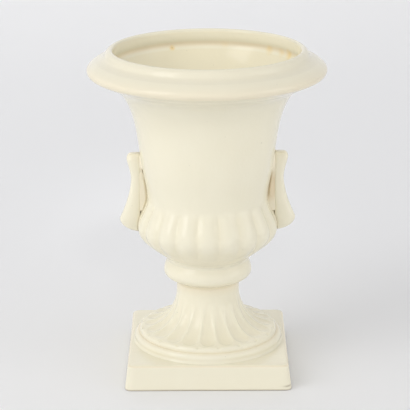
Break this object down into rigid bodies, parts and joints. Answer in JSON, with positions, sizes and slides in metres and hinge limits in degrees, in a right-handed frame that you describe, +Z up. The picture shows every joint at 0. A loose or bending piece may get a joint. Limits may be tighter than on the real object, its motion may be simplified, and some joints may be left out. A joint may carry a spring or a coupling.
{
  "type": "urn vase",
  "caption": "Campana-shaped urn vase of cream-glazed earthenware: a lobed bell bowl with ear handles on a fluted socle and a square plinth, open at the top for flowers.",
  "frame": {"origin": "centre of the plinth's underside, on the surface that the vase stands on", "axes": "+Z up along the vase's axis, +X towards the right handle, -Y towards the picture's camera"},
  "size_m": [0.164, 0.164, 0.2275],
  "materials": {
    "cream_glaze": "gloss",
    "slip": "satin"
  },
  "bodies": {
    "root": {"bowl": "cream_glaze", "socle": "cream_glaze", "plinth": "cream_glaze", "right_handle": "cream_glaze", "left_handle": "cream_glaze", "bowl_seam": "slip", "plinth_seam": "slip", "handle_seams": "slip"}
  },
  "joints": []
}
